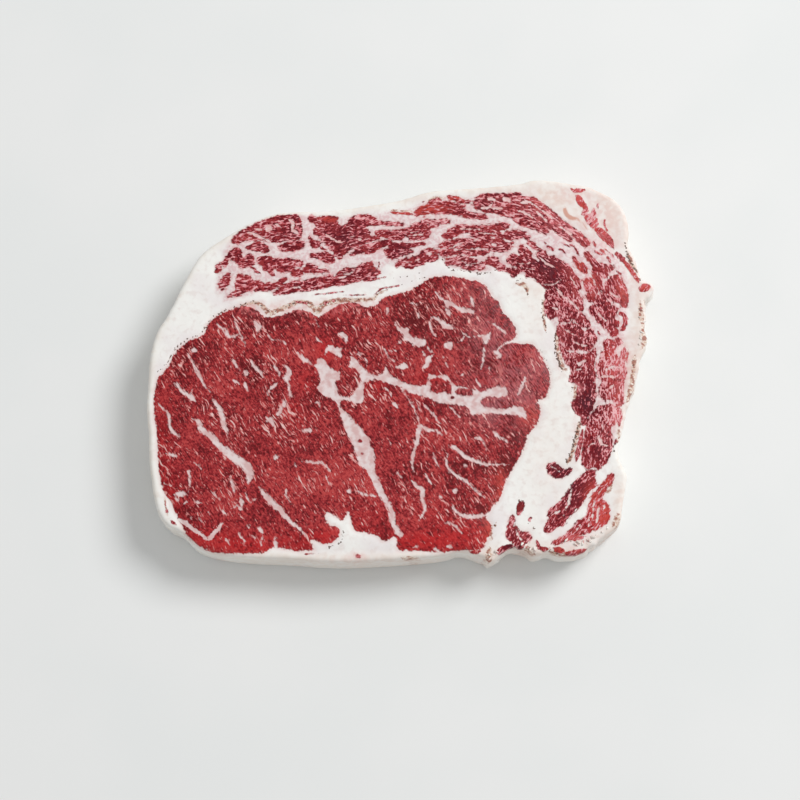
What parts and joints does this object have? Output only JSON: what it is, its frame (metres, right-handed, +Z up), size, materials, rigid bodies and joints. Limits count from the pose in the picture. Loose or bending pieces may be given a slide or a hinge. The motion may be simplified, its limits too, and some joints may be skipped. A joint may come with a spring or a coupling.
{
  "type": "raw beef steak",
  "caption": "Raw boneless beef steak: a thick slab cut across the muscles, rimmed with fat, with low relief on its cut face, lying flat.",
  "frame": {"origin": "centre of the bounding box in plan, on the flat underside that the steak lies on", "axes": "+X along the steak's length, towards the end where the cap muscle turns down; +Y across it, towards the cap's side; +Z up, through its thickness"},
  "size_m": [0.1878, 0.1444, 0.0224],
  "materials": {
    "raw_meat": "moist, softly glossy raw meat, deep red with white fat veins and a creamy fat rim"
  },
  "bodies": {
    "root": {"steak": "raw_meat"}
  },
  "joints": []
}
